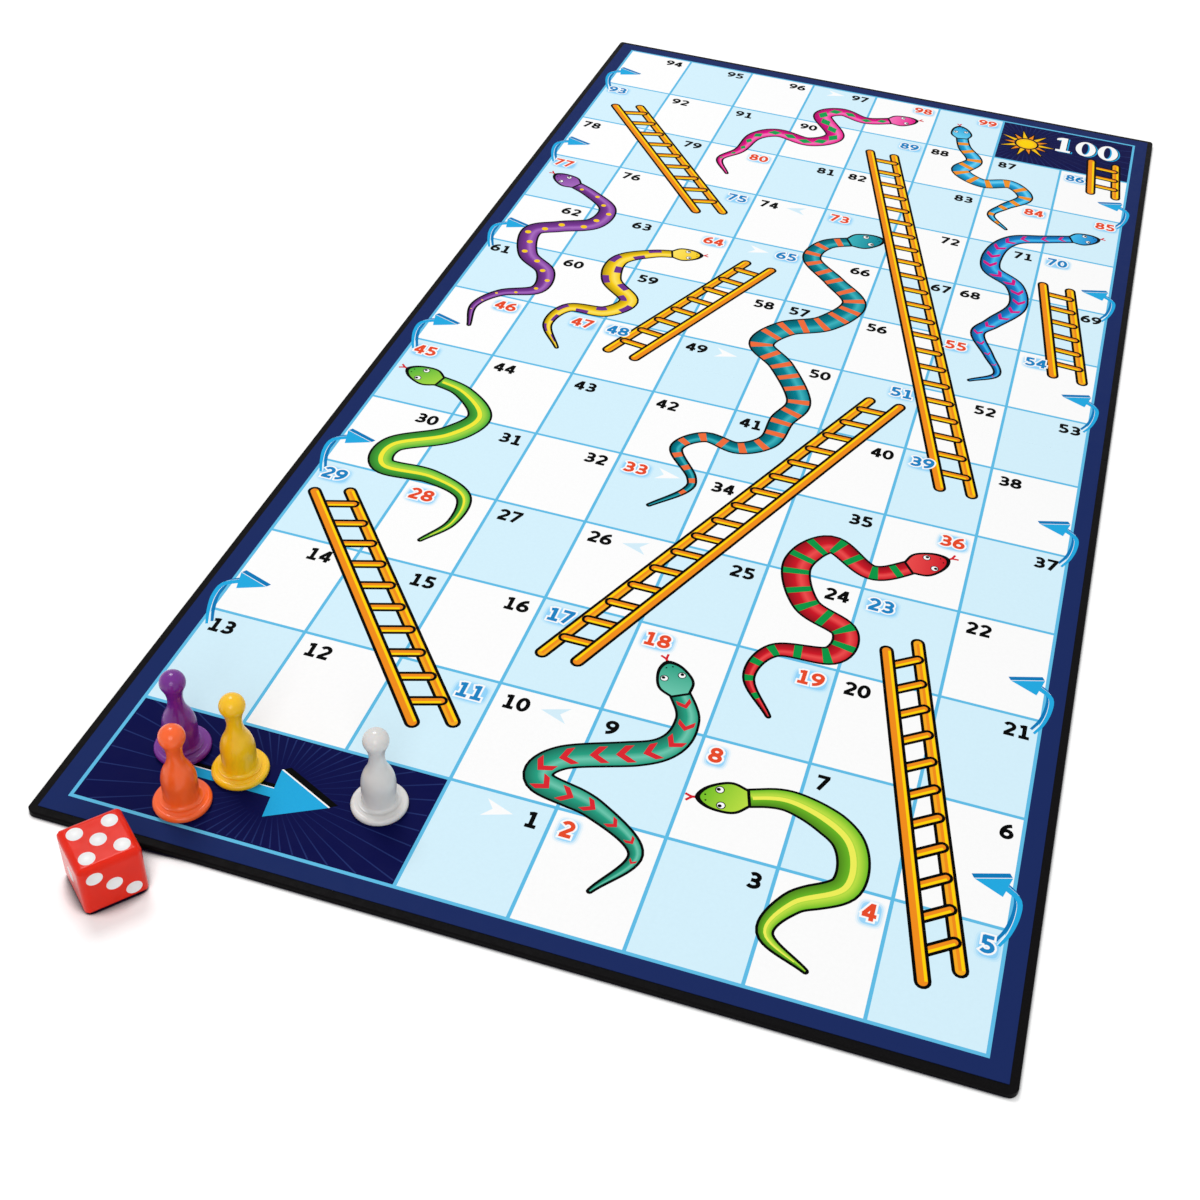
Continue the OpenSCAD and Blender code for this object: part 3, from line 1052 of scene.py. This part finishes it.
def make_floor():
    """A white table in the plane of the board's underside."""
    mesh = bpy.data.meshes.new("floor")
    corners = [(x * FLOOR_HALF, y * FLOOR_HALF, 0) for x, y in ((-1, -1), (1, -1), (1, 1), (-1, 1))]
    mesh.from_pydata(corners, [], [(0, 1, 2, 3)])
    mesh.materials.append(floor_finish())
    floor = bpy.data.objects.new("floor", mesh)
    bpy.context.scene.collection.objects.link(floor)


def floor_finish():
    """White where nothing shades it and far from the lamps, by its own light, with a painted dark
    shade at contacts.
    """
    material = bpy.data.materials.new("floor")
    material.use_nodes = True
    tree = material.node_tree
    tree.nodes.clear()
    own = tree.nodes.new("ShaderNodeEmission")
    tree.links.new(floor_glow(tree), own.inputs["Strength"])
    both = tree.nodes.new("ShaderNodeAddShader")
    tree.links.new(diffuse(tree, [FLOOR_SHARE] * 3), both.inputs[0])
    tree.links.new(own.outputs[0], both.inputs[1])
    # painted shade: a dark matt colour that the occlusion mask mixes in right beside things on the
    # floor
    painted_shade = diffuse(tree, linear(PAINTED_CONTACT_SHADE))
    seen = blend(tree, floor_contact(tree), painted_shade, both.outputs[0])
    plain = diffuse(tree, [FLOOR_BOUNCE] * 3)
    out = tree.nodes.new("ShaderNodeOutputMaterial")
    tree.links.new(blend(tree, seen_directly(tree), plain, seen), out.inputs["Surface"])
    return material


def diffuse(tree, colour):
    """A matt shader in a linear colour."""
    node = tree.nodes.new("ShaderNodeBsdfDiffuse")
    node.inputs["Color"].default_value = (*colour, 1)
    return node.outputs[0]


def blend(tree, share, one, other):
    """One shader where share is 0, and the other where it is 1."""
    node = tree.nodes.new("ShaderNodeMixShader")
    for source, socket in zip((share, one, other), node.inputs):
        tree.links.new(source, socket)
    return node.outputs[0]


def floor_glow(tree):
    """The floor's own light, which grows away from the middle, where the lamps don't reach."""
    place = tree.nodes.new("ShaderNodeTexCoord")
    away = tree.nodes.new("ShaderNodeVectorMath")
    away.operation = "LENGTH"
    tree.links.new(place.outputs["Object"], away.inputs[0])
    return map_range(tree, away.outputs["Value"], FLOOR_REACH, FLOOR_GLOWS)


def floor_contact(tree):
    """The mask of the painted contact shade: 1 in the open, and less right beside a tall thing that
    stands on the floor.
    """
    sky = tree.nodes.new("ShaderNodeAmbientOcclusion")
    sky.inputs["Distance"].default_value = CONTACT_REACH
    return map_range(tree, sky.outputs["AO"], CONTACT_OPEN)


def make_world():
    """White to the eye, and a share of that as light on the part."""
    world = bpy.data.worlds.new("studio")
    world.use_nodes = True
    tree = world.node_tree
    background = tree.nodes["Background"]
    background.inputs["Color"].default_value = (1, 1, 1, 1)
    level = map_range(tree, seen_directly(tree), (0.0, 1.0), (AMBIENT, 1.0))
    tree.links.new(level, background.inputs["Strength"])
    bpy.context.scene.world = world


def make_lamps():
    """Round softboxes that face the middle of the board."""
    for name, (place, size, power) in LAMPS.items():
        data = bpy.data.lights.new(name, "AREA")
        data.shape = "DISK"
        data.size = size
        data.energy = power
        lamp = bpy.data.objects.new(name, data)
        lamp.location = place
        lamp.rotation_mode = "QUATERNION"
        lamp.rotation_quaternion = (-Vector(place)).to_track_quat("-Z", "Y")
        bpy.context.scene.collection.objects.link(lamp)


def make_camera():
    """The photograph's camera, from where it stands and how it is turned."""
    azimuth, elevation, roll = (
        math.radians(a) for a in (CAMERA_AZIMUTH, CAMERA_ELEVATION, CAMERA_ROLL))
    forward = Vector((-math.sin(azimuth) * math.cos(elevation),
                      math.cos(azimuth) * math.cos(elevation), -math.sin(elevation)))
    level = forward.cross(Vector((0, 0, 1))).normalized()
    upright = level.cross(forward)
    right = level * math.cos(roll) + upright * math.sin(roll)
    up = right.cross(forward)
    data = bpy.data.cameras.new("camera")
    data.sensor_width = SENSOR
    data.lens = FOCAL_SHARE * SENSOR
    data.shift_x, data.shift_y = CAMERA_SHIFT
    data.clip_start = CLIP_START
    camera = bpy.data.objects.new("camera", data)
    turn = Matrix((right, up, -forward)).transposed().to_4x4()
    camera.matrix_world = Matrix.Translation(Vector(CAMERA_AT) * MM) @ turn
    bpy.context.scene.collection.objects.link(camera)
    bpy.context.scene.camera = camera


def clear_scene():
    """No things of the factory's start-up scene."""
    for thing in list(bpy.data.objects):
        bpy.data.objects.remove(thing)


clear_scene()
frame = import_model()
bpy.context.scene.view_settings.view_transform = "Standard"
sheet_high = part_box("far_face_sheet")[1]
dress_board(frame, Board((sheet_high.x / MM, sheet_high.y / MM)))
dress_pawns(frame["nodes"])
dress_die(frame["nodes"]["die"])
make_floor()
make_world()
make_lamps()
make_camera()
